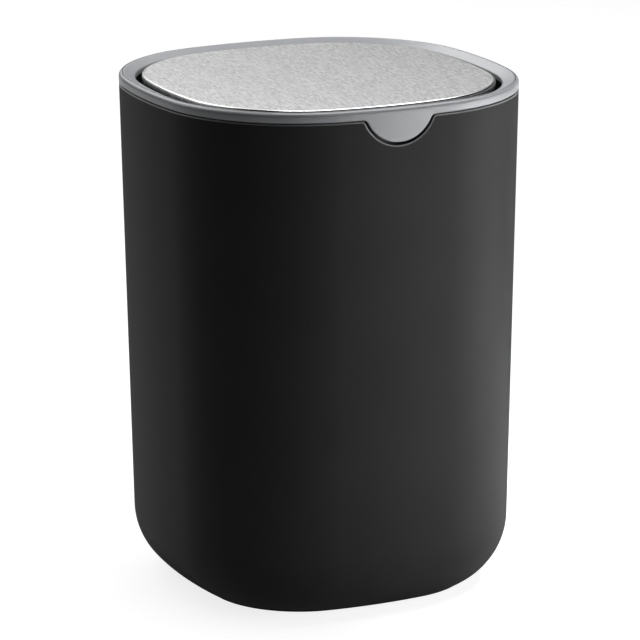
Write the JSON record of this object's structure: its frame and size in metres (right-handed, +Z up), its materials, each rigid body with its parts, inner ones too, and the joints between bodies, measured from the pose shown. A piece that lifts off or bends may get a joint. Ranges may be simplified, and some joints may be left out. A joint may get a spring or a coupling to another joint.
{
  "type": "desk bin",
  "caption": "Small rounded-square desk bin with a lift-off rim ring, a finger tab and a flush steel lid that swings on hidden pivots.",
  "frame": {"origin": "on the floor, under the middle of the bin", "axes": "+Z up, the finger tab faces -Y, and the lid turns about X"},
  "size_m": [0.1698, 0.1698, 0.232],
  "materials": {
    "shell_black": "fine matte, black",
    "soft_black": "soft matte, black",
    "rim_grey": "smooth satin, light grey",
    "inner_black": "moulded satin, black",
    "screw_steel": "bright zinc",
    "bush_plastic": "smooth, dark",
    "lid_steel": "brushed front to back",
    "bond_pad": "thin foam",
    "carrier_grey": "moulded satin, dark grey",
    "pin_steel": "ground",
    "weight_steel": "plain rolled steel"
  },
  "bodies": {
    "bin_body": {"body_shell": "shell_black", "foot_ring": "soft_black"},
    "rim": {"rim_ring": "rim_grey", "bag_collar": "inner_black", "grip_band": "soft_black", "bearing_cap_right": "inner_black", "bearing_cap_left": "inner_black", "bearing_screws": "screw_steel", "pivot_bush_right": "bush_plastic", "pivot_bush_left": "bush_plastic", "lid_bumper_right": "soft_black", "lid_bumper_left": "soft_black"},
    "lid": {"lid_plate": "lid_steel", "plate_bonding_pad": "bond_pad", "lid_carrier": "carrier_grey", "pivot_pin_right": "pin_steel", "pivot_pin_left": "pin_steel", "counterweight": "weight_steel", "counterweight_screws": "screw_steel"}
  },
  "joints": [
    {"name": "rim_lift", "type": "slide", "parent": "bin_body", "child": "rim", "axis": [0, 0, 1], "range_m": [0, 0.06]},
    {"name": "lid_swing", "type": "hinge", "parent": "rim", "child": "lid", "pos_m": [0, 0, 0.2224], "axis": [1, 0, 0], "range_deg": [-70, 70]}
  ]
}
